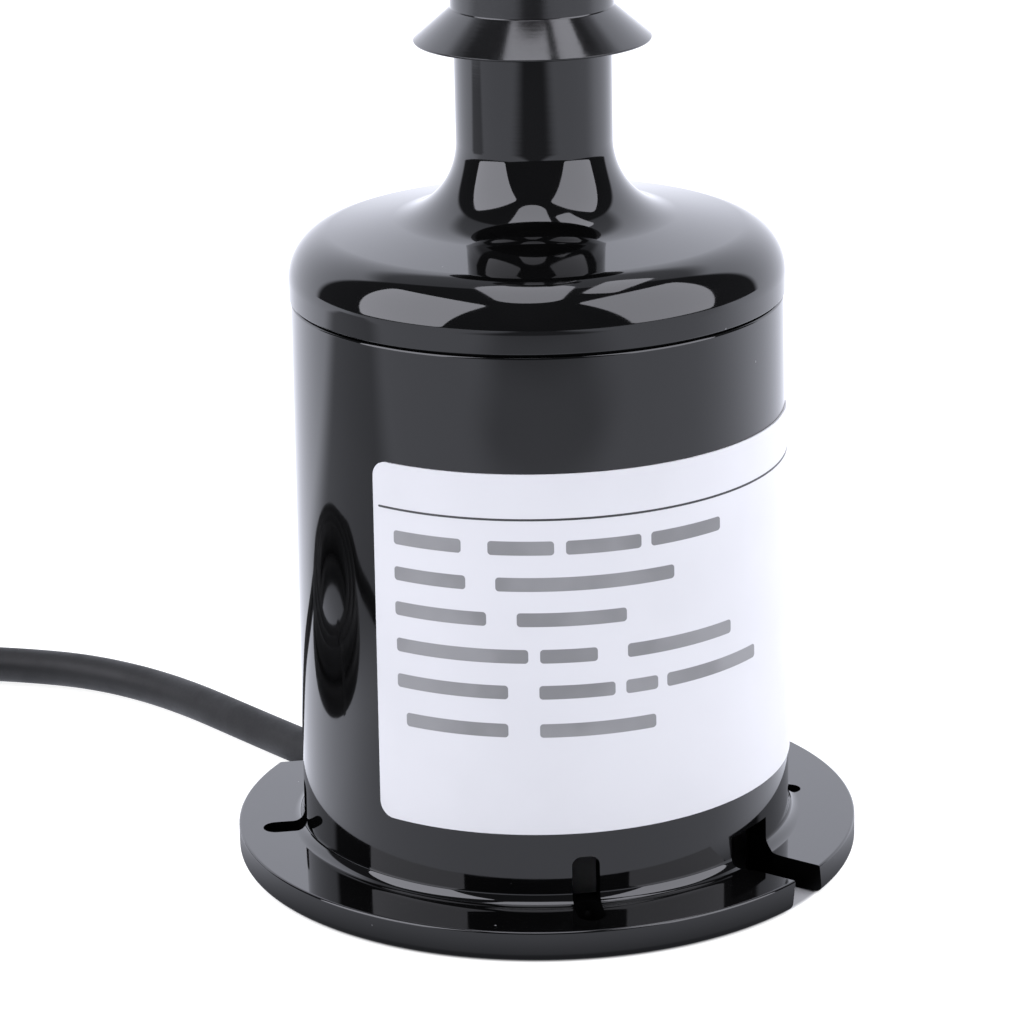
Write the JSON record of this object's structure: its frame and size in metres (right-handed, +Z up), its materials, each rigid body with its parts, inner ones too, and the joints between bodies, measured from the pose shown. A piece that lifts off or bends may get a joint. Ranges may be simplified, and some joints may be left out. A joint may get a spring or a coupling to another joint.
{
  "type": "cup anemometer",
  "caption": "Wind speed sensor: a round moulded housing on a slotted flange carries a ball-bearing rotor with hemispherical cups on arms, and a lead leaves below.",
  "frame": {"origin": "centre of the flange's flat underside, on the rotor's axis, which is also midway between the front and back fixing slots", "axes": "+Z up along the rotor's axis; -Y points at the front fixing slot; the lead leaves towards -X +Y"},
  "size_m": [0.236, 0.1524, 0.1729],
  "materials": {
    "gloss_black_plastic": "injection moulded, glossy, faint flow marks",
    "moulded_black_cover": "moulded, fine grain",
    "satin_black_rotor": "satin, fine turning lines",
    "satin_black_arm": "black anodised rod",
    "stainless_steel": "turned",
    "black_oxide_steel": "black oxide",
    "bearing_steel": "ground and polished",
    "cage_polyamide": "moulded",
    "ground_shaft_steel": "ground",
    "turned_aluminium": "turned",
    "disc_steel": "etched",
    "seal_rubber": "matte",
    "printed_label": "satin white film",
    "board_laminate": "green solder mask",
    "component_black": "moulded",
    "terminal_green": "moulded",
    "capacitor_sleeve": "shrunk sleeve",
    "cable_jacket": "matte jacket",
    "core_insulation": "coloured insulation"
  },
  "bodies": {
    "housing": {"base_housing": "gloss_black_plastic", "bottom_cover": "moulded_black_cover", "bottom_cover_screws": "stainless_steel", "top_cap": "gloss_black_plastic", "cap_screws": "stainless_steel", "cap_seal": "seal_rubber", "label_sticker": "printed_label", "circuit_board": "board_laminate", "board_screws": "stainless_steel", "optical_sensor": "component_black", "terminal_block": "terminal_green", "board_chip": "component_black", "board_capacitor": "capacitor_sleeve", "inner_lead": "cable_jacket", "cable_grommet": "seal_rubber", "upper_bearing_outer_ring": "bearing_steel", "lower_bearing_outer_ring": "bearing_steel", "bearing_shields": "bearing_steel", "bearing_circlips": "black_oxide_steel", "lead_cable": "cable_jacket", "lead_coil": "cable_jacket", "lead_tail": "cable_jacket", "lead_cores": "core_insulation"},
    "rotor": {"rotor_shaft": "ground_shaft_steel", "upper_bearing_inner_ring": "bearing_steel", "lower_bearing_inner_ring": "bearing_steel", "bearing_spacer": "turned_aluminium", "shaft_circlip": "black_oxide_steel", "slotted_disc": "disc_steel", "disc_collar": "turned_aluminium", "disc_nut": "stainless_steel", "collar_grub_screw": "black_oxide_steel", "rotor_hub": "satin_black_rotor", "hub_grub_screw": "black_oxide_steel", "arm_grub_screws": "black_oxide_steel", "cup_arm_1": "satin_black_arm", "cup_arm_2": "satin_black_arm", "cup_arm_3": "satin_black_arm", "cup_1": "satin_black_rotor", "cup_2": "satin_black_rotor", "cup_3": "satin_black_rotor", "cup_pins": "stainless_steel", "top_washer": "stainless_steel", "acorn_nut": "stainless_steel"},
    "upper_cage": {"upper_bearing_balls": "bearing_steel", "upper_bearing_cage": "cage_polyamide"},
    "lower_cage": {"lower_bearing_balls": "bearing_steel", "lower_bearing_cage": "cage_polyamide"}
  },
  "joints": [
    {"name": "rotor_spin", "type": "hinge", "parent": "housing", "child": "rotor", "pos_m": [0, 0, 0.104], "axis": [0, 0, 1], "continuous": true},
    {"name": "upper_cage_spin", "type": "hinge", "parent": "housing", "child": "upper_cage", "pos_m": [0, 0, 0.104], "axis": [0, 0, 1], "continuous": true},
    {"name": "lower_cage_spin", "type": "hinge", "parent": "housing", "child": "lower_cage", "pos_m": [0, 0, 0.08], "axis": [0, 0, 1], "continuous": true}
  ],
  "couplings": [
    {"joint": "upper_cage_spin", "follows": "rotor_spin", "ratio": 0.39},
    {"joint": "lower_cage_spin", "follows": "rotor_spin", "ratio": 0.39}
  ]
}
